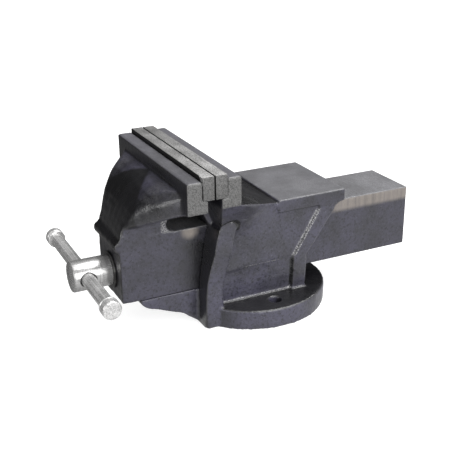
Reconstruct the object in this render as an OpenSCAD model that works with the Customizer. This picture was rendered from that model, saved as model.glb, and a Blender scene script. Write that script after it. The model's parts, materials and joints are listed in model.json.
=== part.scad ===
// Six-inch engineer's bench vise with a fixed round base.
// X runs along the jaws, Y from the operator's side to the tail of the slide,
// Z up. The origin is the centre of the round base where it meets the bench.

/* [Jaws] */
// Length of the jaws along X
jaw_w = 150; // [135:1:165]
// Height of the hardened jaw plates
plate_h = 18.3; // [16:0.1:20]
// Thickness of each jaw plate
plate_t = 9.6; // [8:0.1:10.5]
// Gap left between the plates when the vise is shut
plate_gap = 1; // [0.4:0.1:2]
// How far the plates stand above the cast jaws
plate_proud = 3.1; // [1:0.1:4]
// Height of the plates' top edge above the bench
jaw_top = 144.5; // [142:0.5:150]
// Distance of the closing plane in front of the base centre
jaw_y = 66.3; // [64:0.1:68]
// Spacing of the two screws in each plate
plate_screw_span = 96; // [80:1:110]

/* [Slide] */
// Width of the slide's square beam
slide_w = 53.8; // [50:0.2:56]
// Height of the beam's top face above the bench
slide_top = 86.3; // [84:0.1:88]
// Height of the beam's lower edge above the bench
slide_bottom = 31.5; // [30:0.1:34]
// Distance of the beam's front face in front of the base centre
slide_front = 126.7; // [124:0.1:130]
// Distance of the beam's tail behind the base centre
slide_tail = 145.4; // [142:0.1:160]
// Opening travel of the sliding jaw
travel = 140; // [100:1:145]

/* [Screw and handle] */
// Height of the spindle axis above the bench
axis_z = 52; // [50:0.5:54]
// Diameter of the spindle head
head_d = 25.6; // [24:0.2:28]
// Length of the spindle head
head_l = 32.1; // [28:0.1:36]
// Major diameter of the spindle screw
screw_d = 20; // [18:0.5:21]
// Diameter of the handle bar
bar_d = 11.5; // [10:0.5:12]
// Length of the handle over its caps
handle_l = 160.5; // [140:0.5:180]
// Offset of the handle's middle from the spindle axis
handle_shift = -9.8; // [-20:0.2:20]
// Diameter of the handle caps
cap_d = 15.4; // [14:0.2:17]

/* [Base and anvil] */
// Diameter of the round base
base_d = 130.7; // [128:0.1:140]
// Thickness of the round base
base_h = 16.9; // [15:0.1:18]
// Distance between the two bench bolt holes
bolt_span = 95.2; // [92:0.2:100]
// Diameter of the bench bolt holes
bolt_hole_d = 11; // [9:0.5:13]
// Width of the anvil plate
anvil_w = 83.4; // [82:0.2:90]
// Height of the anvil's working face
anvil_top = 101.8; // [100:0.1:104]
// Thickness of the anvil plate
anvil_t = 10.9; // [8:0.1:12]

/* [Hidden] */

$fn = 64;
eps = 0.01;

// clearances
slide_gap = 0.35;      // slide to guide way, each side
running_gap = 0.05;    // radial, turning shafts
seat_gap = 0.02;       // radial, tapped and pressed holes
free_gap = 0.3;        // between parts that must not rub

// anvil and the strut under it
anvil_front = 6.1;
anvil_rear = 69.6;
strut_top = 80.7;

// jaw castings
seat_front = -jaw_y - plate_gap / 2;           // sliding plate's working face
seat_rear = -jaw_y + plate_gap / 2;            // fixed plate's working face
jaw_cast_top = jaw_top - plate_proud;
plate_z = jaw_top - plate_h;                   // plates' lower edge
lip_y = -88.6;                                 // front of the sliding jaw's lip
slide_jaw_back = -72.3;                        // sliding casting below its plate
fixed_jaw_front = -60.7;                       // fixed casting below its plate
fixed_jaw_back = -44.8;
ear_bottom = 116.4;
fixed_ear_bottom = 118.1;

// slide
half_slide = slide_w / 2;
slide_wall = 9;
slide_roof = 11;
front_wall = 16.7;
hollow_front = -slide_front + front_wall;
bead_r = 4.6;
slot_h = 12.5;
slot_top = slide_top + slot_h;
slot_front = -87;

// guide way in the fixed body, and the half width of its walls at the floor
way_half = half_slide + slide_gap;
way_floor = slide_bottom - slide_gap;
way_roof = slide_top + slide_gap;
body_half = half_slide + 7.5;
ear_half = jaw_w / 2 - 9;                      // inner line of the sliding jaw's ears

// spindle
washer_t = 1.6;
head_back = -slide_front - washer_t;
head_front = head_back - head_l;
shank_d = screw_d;
cross_y = head_front + 11.5;
cross_d = bar_d + 1.4;
spring_l = 10;
spring_wire = 2.4;
collar_l = 10;
collar_d = 30;
spring_y = hollow_front + free_gap;
spring_washer_y = spring_y + spring_l;
collar_y = spring_washer_y + washer_t;
pin_d = 4;

// nut
nut_half = 15;
nut_y = -40;
nut_l = 32;
nut_grip = 28.4;       // screw left in the nut with the jaw fully open
spindle_end = nut_y + nut_grip + travel;
nut_bolt_d = 10;
nut_bolt_y = nut_y + nut_l / 2;
nut_seat_z = 12;
nut_bolt_top = axis_z - screw_d / 2 - 2.5;
dowel_d = 5;
dowel_span = 22;

// jaw screws
jaw_screw_d = 8;
jaw_screw_head_d = 13;
jaw_screw_head_h = 6;
jaw_screw_sink = 0.8;
jaw_screw_l = 9;
jaw_screw_z = plate_z + plate_h / 2;

// handle
cap_l = 10;
handle_y = cross_y;
handle_left = handle_shift - handle_l / 2;
handle_right = handle_shift + handle_l / 2;
bar_pin_d = 8;

cast_black = [0.20, 0.20, 0.21];
ground_grey = [0.55, 0.55, 0.56];
steel = [0.75, 0.75, 0.76];
dark_steel = [0.30, 0.30, 0.31];
brass_tone = [0.70, 0.56, 0.30];

// a side view (Y, Z) drawn out along X, centred on the middle plane
module across(half) {
    rotate([90, 0, 90]) translate([0, 0, -half]) linear_extrude(2 * half) children();
}

// a front view (X, Z) drawn out along Y from y0 to y1
module along(y0, y1) {
    translate([0, y1, 0]) rotate([90, 0, 0]) linear_extrude(y1 - y0) children();
}

// a cylinder on a line parallel to Y
module rod_y(d, y0, y1, x = 0, z = axis_z) {
    translate([x, y0, z]) rotate([-90, 0, 0]) cylinder(d = d, h = y1 - y0);
}

// a cylinder on a line parallel to X
module rod_x(d, x0, x1, y = 0, z = axis_z) {
    translate([x0, y, z]) rotate([0, 90, 0]) cylinder(d = d, h = x1 - x0);
}

// a box given by its corners
module block(x0, x1, y0, y1, z0, z1) {
    translate([x0, y0, z0]) cube([x1 - x0, y1 - y0, z1 - z0]);
}

// both halves of an outline given for X >= 0, bottom to top
module mirrored_outline(points) {
    polygon(concat(points, [for (i = [len(points) - 1:-1:0]) [-points[i][0], points[i][1]]]));
}

// ---------------------------------------------------------------- fixed body

// lean of the front rib: its front edge, bottom to top
rib_front = [[-61, 0], [-60.9, 31], [-60.2, 40], [-59, 49.5], [-57.4, 59],
             [-56.2, 67.4], [-54.4, 78.3], [-51.6, 89.1]];
rib_crown = [[-49.1, 93.8], [-44.1, 95.2], [-39.2, 93.8], [-36, 90.3]];
rib_rear = [[-38.6, 80], [-40.4, 69.1], [-41.8, 57.6], [-44, 43.7],
            [-45.8, 32.2], [-46, 17], [-46, 0]];
crown_y = -44;
crown_z = 88.2;
crown_recess_d = 17.6;     // recess in the flank round the rib's crown

// round base with the pair of bench bolt holes
module base_disc() {
    cylinder(d = base_d, h = base_h, $fn = 128);
}

// side walls and channel floor below the fold line, and the core above it
module pedestal() {
    intersection() {
        across(50) polygon([
            [-57, 8], [-57, 31], [-55.5, 42], [-52, 57], [-46, 77], [-41.5, 89], [-41.5, 98],
            [8, 95], [8, 99], [62, 96], [60.5, 86], [57.2, 80.4], [34.4, 49], [34.4, 8]]);
        along(-80, 80) mirrored_outline([
            [0, 8], [body_half, 8], [body_half + 0.6, base_h], [body_half + 2.8, 47.5],
            [body_half + 3.6, 60], [body_half + 4.6, 92], [body_half + 4.6, 99], [0, 99]]);
    }
}

// outer skin above the fold line: at station t along Y (0 at the jaw, 1 at the
// anvil) the wall leaves the fold upright and flares out to the top edge
flank_front = fixed_jaw_front;
flank_turn = fixed_jaw_back;
flank_end = 34.2;
flare = 2.2;
fold_x = body_half + 3.6;
flank_rows = 12;
flank_y = concat([flank_front], [for (i = [0:8]) flank_turn + i * (6 - flank_turn) / 8], [20, flank_end]);

function flank_t(y) = min(1, max(0, (y - flank_turn) / (6 - flank_turn)));
function flank_top_x(y) = jaw_w / 2 + (39.6 - jaw_w / 2) * flank_t(y);
function flank_top_z(y) = fixed_ear_bottom + (99.3 - fixed_ear_bottom) * flank_t(y) - 0.05 * max(0, y - 6);
function fold_z(y) = 48.6 + 0.06 * y;
function flank_point(y, row) =
    let (u = row / flank_rows, z0 = fold_z(y), z1 = flank_top_z(y))
    [fold_x + (flank_top_x(y) - fold_x) * pow(u, flare), y, z0 + (z1 - z0) * u];

// one side's skin: a ring of outer and inner points at each station
module flank() {
    inner = body_half - 4.4;
    rows = flank_rows;
    count = 2 * (rows + 1);
    last = len(flank_y) - 1;
    points = [for (y = flank_y) for (p = concat(
        [for (row = [0:rows]) flank_point(y, row)],
        [for (row = [rows:-1:0]) [inner, y, flank_point(y, row)[2]]])) p];
    cap = [for (row = [0:rows - 1]) for (half = [0, 1])
        half == 0 ? [row, count - 2 - row, row + 1] : [row, count - 1 - row, count - 2 - row]];
    faces = concat(
        cap,
        [for (f = cap) [for (k = [2:-1:0]) last * count + f[k]]],
        [for (i = [0:last - 1]) for (j = [0:count - 1]) for (half = [0, 1])
            let (a = i * count + j, b = i * count + (j + 1) % count)
            half == 0 ? [a, b, a + count] : [b, b + count, a + count]]);
    polyhedron(points, faces, convexity = 4);
}

// the swept flanks of both sides, cut back at the front below the jaw
module flanks() {
    difference() {
        intersection() {
            union() {
                flank();
                mirror([1, 0, 0]) flank();
            }
            across(jaw_w) polygon([
                [flank_front, 120], [flank_front, 117.5], [-58.7, 113], [-54.8, 104], [-51.9, 96],
                [-47.5, 84], [-46, 77], [-50, 60], [-54, 45], [flank_end, 45], [flank_end, 49],
                [57, 80.4], [60, 120]]);
        }
        for (side = [0, 1]) mirror([side, 0, 0])
            rod_x(crown_recess_d, way_half + 6, jaw_w, crown_y, crown_z);
    }
}

// front rib: a broad flange on either side of the slide, flared at its foot
module front_rib() {
    intersection() {
        across(50) polygon(concat(rib_front, rib_crown, rib_rear));
        along(-80, 0) mirrored_outline([
            [0, 0], [body_half + 8, 0], [body_half + 9, 40], [body_half + 10.4, 50],
            [body_half + 12.4, 60], [body_half + 14.9, 67.4], [body_half + 18.2, 78.3],
            [body_half + 20.4, 89], [body_half + 21.4, 97], [0, 97]]);
        cylinder(d1 = base_d + 14, d2 = base_d + 44, h = 97, $fn = 128);
    }
}

// rear rib: upright post that leans back into a strut under the anvil
module rear_rib() {
    intersection() {
        across(50) polygon([
            [21.6, 8], [21.6, 48], [45.2, 87.5], [47, 93], [62, 93], [60.6, 86], [57.8, strut_top],
            [34.9, 49], [34.9, 8]]);
        along(0, 80) mirrored_outline([
            [0, 8], [body_half + 2.8, 8], [body_half + 3.2, base_h], [body_half + 6, 50],
            [body_half + 7, 93], [0, 93]]);
    }
}

// flat anvil plate with a curved bracket under its rear edge
module anvil() {
    anvil_bottom = anvil_top - anvil_t;
    block(-anvil_w / 2, anvil_w / 2, anvil_front, anvil_rear, anvil_bottom, anvil_top);
    across(anvil_w / 2 - 0.6) polygon([
        [50, anvil_bottom + 1], [50, strut_top], [57.8, strut_top], [59.2, 84.2], [62, 87.6],
        [65.6, 90], [anvil_rear - 0.6, anvil_bottom + 1]]);
}

// fixed jaw: the plate's seat, and flanks that sweep down to the side walls
module fixed_head() {
    half_jaw = jaw_w / 2;
    across(half_jaw) polygon([
        [fixed_jaw_front, fixed_ear_bottom], [fixed_jaw_front, plate_z],
        [seat_rear + plate_t, plate_z], [seat_rear + plate_t, jaw_cast_top],
        [fixed_jaw_back, jaw_cast_top], [fixed_jaw_back, fixed_ear_bottom]]);
    // ramp that runs down from the back of the jaw to the anvil
    across(31) polygon([
        [fixed_jaw_back - 1, fixed_ear_bottom], [6.5, 99.3], [6.5, 86], [-45, 86]]);
    across(way_half + 6) polygon([
        [fixed_jaw_front, plate_z - 2], [fixed_jaw_front, 104], [-53.5, 90], [-51, 84],
        [-30, 84], [-30, 106], [fixed_jaw_back - 1, fixed_ear_bottom]]);
}

// tongue that carries the slide in front of the base
module tongue() {
    across(half_slide - 0.3) polygon([
        [-111.5, way_floor], [-111.4, 29], [-109.6, 26], [-106, 23.3], [-73.6, 10.4],
        [-60.3, 0], [-40, 0], [-40, way_floor]]);
}

module fixed_body() {
    color(cast_black) difference() {
        union() {
            base_disc();
            pedestal();
            flanks();
            front_rib();
            rear_rib();
            anvil();
            fixed_head();
            tongue();
        }
        // guide way for the slide
        block(-way_half, way_half, -140, 100, way_floor, way_roof);
        // bench bolt holes
        for (side = [-1, 1])
            translate([side * bolt_span / 2, 0, -1]) cylinder(d = bolt_hole_d, h = base_h + 2);
        // fixing of the nut, from below
        translate([0, nut_bolt_y, -1]) cylinder(d = 24, h = nut_seat_z + 1);
        translate([0, nut_bolt_y, 0]) cylinder(d = nut_bolt_d + 1, h = 40);
        for (side = [-1, 1])
            translate([0, nut_bolt_y + side * dowel_span / 2, way_floor - 8])
                cylinder(d = dowel_d + 2 * seat_gap, h = 9);
        // tapped holes for the jaw plate
        for (side = [-1, 1])
            rod_y(jaw_screw_d + 2 * seat_gap, seat_rear, seat_rear + plate_t + jaw_screw_l,
                side * plate_screw_span / 2, jaw_screw_z);
    }
}

// ------------------------------------------------------------- plates, screws

// jaw plate with two counterbored screw holes; face is its working face,
// away is +1 when the body of the plate lies behind it in +Y
module jaw_plate(face, away) {
    y0 = min(face, face + away * plate_t);
    y1 = max(face, face + away * plate_t);
    bore0 = min(face - away, face + away * (jaw_screw_head_h + jaw_screw_sink));
    bore1 = max(face - away, face + away * (jaw_screw_head_h + jaw_screw_sink));
    difference() {
        block(-jaw_w / 2, jaw_w / 2, y0, y1, plate_z, jaw_top);
        for (side = [-1, 1]) {
            x = side * plate_screw_span / 2;
            rod_y(jaw_screw_d + 2 * seat_gap, y0 - 1, y1 + 1, x, jaw_screw_z);
            rod_y(jaw_screw_head_d + 2 * free_gap, bore0, bore1, x, jaw_screw_z);
        }
    }
}

// pair of socket head screws that hold a jaw plate to its casting
module jaw_screws(face, away) {
    head0 = face + away * jaw_screw_sink;
    head1 = head0 + away * jaw_screw_head_h;
    tip = face + away * (plate_t + jaw_screw_l - 1);
    for (side = [-1, 1]) {
        x = side * plate_screw_span / 2;
        difference() {
            union() {
                rod_y(jaw_screw_head_d, min(head0, head1), max(head0, head1), x, jaw_screw_z);
                rod_y(jaw_screw_d, min(head1, tip) - eps, max(head1, tip) + eps, x, jaw_screw_z);
            }
            translate([x, head0 - away, jaw_screw_z]) rotate([-90 * away, 0, 0])
                cylinder(d = 7, h = 4, $fn = 6);
        }
    }
}

module fixed_jaw_plate() {
    color(ground_grey) jaw_plate(seat_rear, 1);
}

module fixed_jaw_screws() {
    color(dark_steel) jaw_screws(seat_rear, 1);
}

module sliding_jaw_plate() {
    color(ground_grey) jaw_plate(seat_front, -1);
}

module sliding_jaw_screws() {
    color(dark_steel) jaw_screws(seat_front, -1);
}

// ------------------------------------------------------------------- nut

// block nut that stands on the channel floor inside the hollow slide
module spindle_nut() {
    color(brass_tone) difference() {
        union() {
            block(-nut_half, nut_half, nut_y, nut_y + nut_l, way_floor, axis_z);
            rod_y(2 * nut_half, nut_y, nut_y + nut_l);
        }
        rod_y(screw_d + 2 * running_gap, nut_y - 1, nut_y + nut_l + 1);
        translate([0, nut_bolt_y, way_floor - 1])
            cylinder(d = nut_bolt_d + 2 * seat_gap, h = nut_bolt_top - way_floor + 1.5);
        for (side = [-1, 1])
            translate([0, nut_bolt_y + side * dowel_span / 2, way_floor - 1])
                cylinder(d = dowel_d + 2 * seat_gap, h = 7);
    }
}

nut_flat_t = 2;
nut_spring_t = 2.2;
nut_bolt_head_h = 6.4;

module nut_bolt() {
    head_top = nut_seat_z - nut_flat_t - nut_spring_t;
    color(dark_steel) translate([0, nut_bolt_y, 0]) union() {
        translate([0, 0, head_top - nut_bolt_head_h]) cylinder(d = 18.4, h = nut_bolt_head_h, $fn = 6);
        translate([0, 0, head_top - eps]) cylinder(d = nut_bolt_d, h = nut_bolt_top - head_top);
    }
}

module nut_spring_washer() {
    color(dark_steel) translate([0, nut_bolt_y, nut_seat_z - nut_flat_t - nut_spring_t])
        difference() {
            cylinder(d = 18, h = nut_spring_t);
            translate([0, 0, -1]) cylinder(d = nut_bolt_d + 0.4, h = nut_spring_t + 2);
            translate([0, -0.8, -1]) rotate([0, 20, 0]) cube([12, 1.6, 6]);
        }
}

module nut_flat_washer() {
    color(steel) translate([0, nut_bolt_y, nut_seat_z - nut_flat_t]) difference() {
        cylinder(d = 21, h = nut_flat_t);
        translate([0, 0, -1]) cylinder(d = nut_bolt_d + 0.6, h = nut_flat_t + 2);
    }
}

module nut_dowels() {
    color(steel) for (side = [-1, 1])
        translate([0, nut_bolt_y + side * dowel_span / 2, way_floor - 7.5])
            cylinder(d = dowel_d, h = 13);
}

// ---------------------------------------------------------------- sliding jaw

// front edge of the apron: half width, distance from the base centre, height
apron_edge = [[40, -98, 129.2], [39, -104.5, 125.2], [37, -110.8, 119.5], [35.5, -114, 115],
              [33, -117.5, 110], [30.5, -119.8, 105], [half_slide + 2, -121.8, 100], [half_slide, -123.7, 95]];
// where the apron's flank meets the ear and the slide
apron_flank = [[60, -88.4, 131.4], [53, -93, 130], [50, -103.8, 120.4], [58, -97, 121],
               [ear_half, -87, 128], [ear_half, -87, 114.5], [half_slide, -82, 98.5]];

// small block that marks a corner of the apron's hull on both sides
module apron_corner(x, y, z) {
    for (side = [-1, 1]) translate([side * x - 0.1, y, z - 0.1]) cube(0.2);
}

// bulging apron that carries the jaw on the slide, with its upright foot
module apron() {
    hull() {
        for (c = concat(apron_edge, apron_flank)) apron_corner(c[0], c[1], c[2]);
    }
    across(half_slide) polygon([
        [-slide_front, 80], [-slide_front + 0.4, 84], [-125.3, 90], [-123.7, 95], [-120, 97.5],
        [-80, 98.5], [-80, 80]]);
}

// jaw bar with the lip, the ears at its ends and the plate's seat
module sliding_bar() {
    intersection() {
        across(jaw_w / 2) polygon([
            [lip_y, 100], [lip_y, jaw_cast_top - 0.8], [lip_y + 0.8, jaw_cast_top],
            [seat_front - plate_t, jaw_cast_top], [seat_front - plate_t, plate_z],
            [slide_jaw_back, plate_z], [slide_jaw_back, 100]]);
        along(-100, -60) mirrored_outline([
            [0, slot_top], [half_slide, slot_top], [ear_half, 113.8], [jaw_w / 2, ear_bottom],
            [jaw_w / 2, jaw_top], [0, jaw_top]]);
    }
}

module sliding_jaw() {
    color(cast_black) difference() {
        union() {
            block(-half_slide, half_slide, -slide_front, slide_tail, slide_bottom, slide_top);
            apron();
            sliding_bar();
            // bead along the foot of the apron
            rod_x(2 * bead_r, -half_slide, half_slide, -slide_front + 0.4, 80.4);
        }
        // slot under the jaw bar, with a round front end
        block(-jaw_w, jaw_w, slot_front + slot_h / 2, -60, slide_top, slot_top);
        rod_x(slot_h, -jaw_w, jaw_w, slot_front + slot_h / 2, slide_top + slot_h / 2);
        // hollow of the slide, open below and at the tail
        block(-half_slide + slide_wall, half_slide - slide_wall, hollow_front, slide_tail + 1,
            slide_bottom - 1, slide_top - slide_roof);
        // spindle bore through the front wall
        rod_y(shank_d + 2 * running_gap, -slide_front - 1, hollow_front + 1);
        // tapped holes for the jaw plate
        for (side = [-1, 1])
            rod_y(jaw_screw_d + 2 * seat_gap, seat_front - plate_t - jaw_screw_l, seat_front,
                side * plate_screw_span / 2, jaw_screw_z);
    }
}

// -------------------------------------------------------------------- spindle

// spindle: cross-bored head, plain shank and screw in one piece
module spindle() {
    edge = 1.6;
    color(steel) difference() {
        union() {
            translate([0, head_front, axis_z]) rotate([-90, 0, 0]) rotate_extrude()
                polygon([[0, 0], [head_d / 2 - edge, 0], [head_d / 2 - edge * 0.3, edge * 0.3],
                         [head_d / 2, edge], [head_d / 2, head_l], [0, head_l]]);
            rod_y(shank_d, head_back - eps, spindle_end - 2);
            translate([0, spindle_end - 2, axis_z]) rotate([-90, 0, 0])
                cylinder(d1 = screw_d, d2 = screw_d - 4, h = 2);
        }
        rod_x(cross_d, -head_d, head_d, cross_y);
        rod_x(pin_d + 2 * seat_gap, -head_d, head_d, collar_y + collar_l / 2);
    }
}

// washer of one thickness on the spindle
module spindle_washer(y, outer) {
    difference() {
        rod_y(outer, y, y + washer_t);
        rod_y(shank_d + 2 * seat_gap, y - 1, y + washer_t + 1);
    }
}

module thrust_washer() {
    color(dark_steel) spindle_washer(head_back, 31);
}

module spring_washer() {
    color(dark_steel) spindle_washer(spring_washer_y, 29);
}

// short compression spring that draws the jaw back with the spindle
module return_spring() {
    turns = 3;
    radius = shank_d / 2 + 0.4 + spring_wire / 2;
    color(steel) for (i = [0:turns])
        translate([0, spring_y + spring_wire / 2 + i * (spring_l - spring_wire) / turns, axis_z])
            rotate([-90, 0, 0]) rotate_extrude()
                translate([radius, 0]) circle(d = spring_wire - 0.01, $fn = 24);
}

module retaining_collar() {
    color(steel) difference() {
        rod_y(collar_d, collar_y, collar_y + collar_l);
        rod_y(shank_d + 2 * seat_gap, collar_y - 1, collar_y + collar_l + 1);
        rod_x(pin_d + 2 * seat_gap, -collar_d, collar_d, collar_y + collar_l / 2);
    }
}

module collar_pin() {
    color(steel) rod_x(pin_d, 0.5 - collar_d / 2, collar_d / 2 - 0.5, collar_y + collar_l / 2);
}

// --------------------------------------------------------------------- handle

// plain bar with a reduced spigot at each end for the caps
module handle_bar() {
    color(steel) union() {
        rod_x(bar_d, handle_left + cap_l, handle_right - cap_l, handle_y);
        rod_x(bar_pin_d, handle_left + 2.5, handle_right - 2.5, handle_y);
    }
}

// cap with rounded edges, pressed on the bar's spigot; its open end faces +X
module handle_cap() {
    r = cap_d / 2;
    edge = 1.2;
    difference() {
        rotate([0, 90, 0]) rotate_extrude() polygon([
            [0, 0], [r - edge, 0], [r - edge * 0.3, edge * 0.3], [r, edge],
            [r, cap_l - edge], [r - edge * 0.5, cap_l], [0, cap_l]]);
        rod_x(bar_pin_d + 2 * seat_gap, 2.5 - seat_gap, cap_l + 1, 0, 0);
    }
}

module handle_cap_left() {
    color(steel) translate([handle_left, handle_y, axis_z]) handle_cap();
}

module handle_cap_right() {
    color(steel) translate([handle_right, handle_y, axis_z]) mirror([1, 0, 0]) handle_cap();
}

fixed_body();
fixed_jaw_plate();
fixed_jaw_screws();
spindle_nut();
nut_bolt();
nut_spring_washer();
nut_flat_washer();
nut_dowels();
sliding_jaw();
sliding_jaw_plate();
sliding_jaw_screws();
spindle();
thrust_washer();
return_spring();
spring_washer();
retaining_collar();
collar_pin();
handle_bar();
handle_cap_left();
handle_cap_right();
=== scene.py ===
import json
import math

import bmesh
import bpy
import numpy as np
from mathutils import Matrix, Vector


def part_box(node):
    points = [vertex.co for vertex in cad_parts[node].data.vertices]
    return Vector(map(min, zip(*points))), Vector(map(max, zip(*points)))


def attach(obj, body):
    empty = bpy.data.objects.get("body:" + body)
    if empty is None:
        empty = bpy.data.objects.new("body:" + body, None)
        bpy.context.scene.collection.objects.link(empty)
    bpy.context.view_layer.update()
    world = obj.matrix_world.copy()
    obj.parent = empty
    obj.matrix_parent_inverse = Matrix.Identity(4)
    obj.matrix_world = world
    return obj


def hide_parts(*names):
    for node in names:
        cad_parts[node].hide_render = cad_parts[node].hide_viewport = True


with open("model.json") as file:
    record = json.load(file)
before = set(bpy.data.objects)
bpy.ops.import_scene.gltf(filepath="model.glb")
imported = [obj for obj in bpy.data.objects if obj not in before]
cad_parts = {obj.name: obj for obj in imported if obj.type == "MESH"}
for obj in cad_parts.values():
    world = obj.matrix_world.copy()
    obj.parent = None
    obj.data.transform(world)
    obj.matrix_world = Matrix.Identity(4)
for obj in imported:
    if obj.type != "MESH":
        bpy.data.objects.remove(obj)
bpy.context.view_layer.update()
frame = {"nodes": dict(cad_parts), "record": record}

# ---- camera: a long lens from the operator's right, a little above the jaws
azimuth, elevation, roll = math.radians(64.37), math.radians(22.35), math.radians(-0.72)
aim = Vector((0.02663, -0.03365, 0.08048))
distance = 0.69918
back = Vector((math.sin(azimuth) * math.cos(elevation),
               -math.cos(azimuth) * math.cos(elevation), math.sin(elevation)))
right = Vector((math.cos(azimuth), math.sin(azimuth), 0.0))
up = back.cross(right)
turned_right = right * math.cos(roll) + up * math.sin(roll)
turned_up = back.cross(turned_right)
camera = bpy.data.objects.new("camera", bpy.data.cameras.new("camera"))
camera.data.lens = 67.69
camera.data.sensor_width = 36.0
camera.matrix_world = Matrix((
    (turned_right.x, turned_up.x, back.x, 0.0),
    (turned_right.y, turned_up.y, back.y, 0.0),
    (turned_right.z, turned_up.z, back.z, 0.0),
    (0.0, 0.0, 0.0, 1.0)))
camera.matrix_world.translation = aim + back * distance
bpy.context.collection.objects.link(camera)
bpy.context.scene.camera = camera

# ---- studio: a white bench top that fades into a white room, with a broad soft
# light overhead and one on the operator's right. What the vise mirrors is dim on
# the side that its jaws face, so that the faces turned that way stay dark.
bpy.context.scene.view_settings.view_transform = "Standard"
bpy.context.scene.view_settings.look = "None"


def dim_towards_front(tree, where, weights, low, high, darkest, brightest):
    """A level from darkest to brightest as the weighted sum of where's X, Y and Z goes from low to high."""
    dot = tree.nodes.new("ShaderNodeVectorMath")
    dot.operation = "DOT_PRODUCT"
    tree.links.new(where, dot.inputs[0])
    dot.inputs[1].default_value = weights
    level = tree.nodes.new("ShaderNodeMapRange")
    level.interpolation_type = "SMOOTHSTEP"
    for label, number in (("From Min", low), ("From Max", high),
                          ("To Min", darkest), ("To Max", brightest)):
        level.inputs[label].default_value = number
    tree.links.new(dot.outputs["Value"], level.inputs["Value"])
    return level.outputs["Result"]


def studio_floor():
    """A flat white square round the origin, reach metres to each side, a hair below the base."""
    reach = 6.0
    below = -0.0002
    corners = [(-reach, -reach, below), (reach, -reach, below), (reach, reach, below), (-reach, reach, below)]
    mesh = bpy.data.meshes.new("bench_top")
    mesh.from_pydata(corners, [], [(0, 1, 2, 3)])
    floor = bpy.data.objects.new("bench_top", mesh)
    bpy.context.collection.objects.link(floor)
    paper = bpy.data.materials.new("white_paper")
    paper.use_nodes = True
    tree = paper.node_tree
    shader = tree.nodes["Principled BSDF"]
    shader.inputs["Base Color"].default_value = (0.40, 0.40, 0.40, 1.0)
    shader.inputs["Roughness"].default_value = 0.9
    shader.inputs["Emission Color"].default_value = (1.0, 1.0, 1.0, 1.0)
    shader.inputs["Emission Strength"].default_value = 0.80
    mirrored = tree.nodes.new("ShaderNodeEmission")
    place = tree.nodes.new("ShaderNodeTexCoord").outputs["Object"]
    level = dim_towards_front(tree, place, (0.85, 0.3, 0.0), -0.16, 0.10, 0.16, 1.0)
    tree.links.new(level, mirrored.inputs["Strength"])
    sight = tree.nodes.new("ShaderNodeLightPath")
    choose = tree.nodes.new("ShaderNodeMixShader")
    tree.links.new(sight.outputs["Is Camera Ray"], choose.inputs["Fac"])
    tree.links.new(mirrored.outputs["Emission"], choose.inputs[1])
    tree.links.new(shader.outputs["BSDF"], choose.inputs[2])
    tree.links.new(choose.outputs["Shader"], tree.nodes["Material Output"].inputs["Surface"])
    mesh.materials.append(paper)
    return floor


def softbox(name, place, target, size, power):
    """A square area light of the given size and power at place, turned to face target."""
    lamp = bpy.data.lights.new(name, "AREA")
    lamp.shape = "SQUARE"
    lamp.size = size
    lamp.energy = power
    holder = bpy.data.objects.new(name, lamp)
    holder.location = place
    aimed = Vector(target) - Vector(place)
    holder.rotation_euler = aimed.to_track_quat("-Z", "Y").to_euler()
    bpy.context.collection.objects.link(holder)
    return holder


studio_floor()
softbox("overhead_light", (0.05, 0.45, 1.20), (0.0, 0.02, 0.05), 1.0, 22.0)
softbox("right_light", (1.15, 0.10, 0.55), (0.0, -0.02, 0.07), 0.8, 12.0)
softbox("front_fill", (0.25, -0.95, 0.22), (0.0, -0.15, 0.05), 0.4, 2.5)

world = bpy.data.worlds.new("room")
bpy.context.scene.world = world
world.use_nodes = True
room = world.node_tree
room_light = room.nodes["Background"]
room_light.inputs["Color"].default_value = (1.0, 1.0, 1.0, 1.0)
direction = room.nodes.new("ShaderNodeTexCoord").outputs["Generated"]
room_level = dim_towards_front(room, direction, (0.85, 0.30, 1.00), -0.30, 0.75, 0.04, 0.95)
room.links.new(room_level, room_light.inputs["Strength"])
seen = room.nodes.new("ShaderNodeBackground")
seen.inputs["Color"].default_value = (1.0, 1.0, 1.0, 1.0)
seen.inputs["Strength"].default_value = 1.05
sight = room.nodes.new("ShaderNodeLightPath")
choose = room.nodes.new("ShaderNodeMixShader")
room.links.new(sight.outputs["Is Camera Ray"], choose.inputs["Fac"])
room.links.new(room_light.outputs["Background"], choose.inputs[1])
room.links.new(seen.outputs["Background"], choose.inputs[2])
room.links.new(choose.outputs["Shader"], room.nodes["World Output"].inputs["Surface"])

# ---- fixed body: one iron casting with the round base, the ribs, the guide way,
# the fixed jaw and the anvil. It is cast in sand, so its edges are round and its
# skin is pebbled; it is sprayed black, then ground bare on the jaw ends and anvil.


def merged_copy(name, piece_name):
    """The CAD node's surface as a new object, its loose triangles joined and its flat areas made whole."""
    source = frame["nodes"][name]
    mesh = source.data.copy()
    mesh.name = piece_name
    mesh.materials.clear()
    piece = bpy.data.objects.new(piece_name, mesh)
    bpy.context.collection.objects.link(piece)
    shape = bmesh.new()
    shape.from_mesh(mesh)
    bmesh.ops.remove_doubles(shape, verts=shape.verts, dist=2e-6)
    bmesh.ops.dissolve_limit(
        shape, angle_limit=math.radians(0.5), verts=shape.verts, edges=shape.edges)
    shape.to_mesh(mesh)
    shape.free()
    return piece


def apply_modifiers(piece):
    """Replaces the piece's mesh with what its modifiers make of it."""
    view = bpy.context.evaluated_depsgraph_get()
    done = bpy.data.meshes.new_from_object(piece.evaluated_get(view))
    piece.modifiers.clear()
    done.name = piece.name
    piece.data = done


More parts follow.
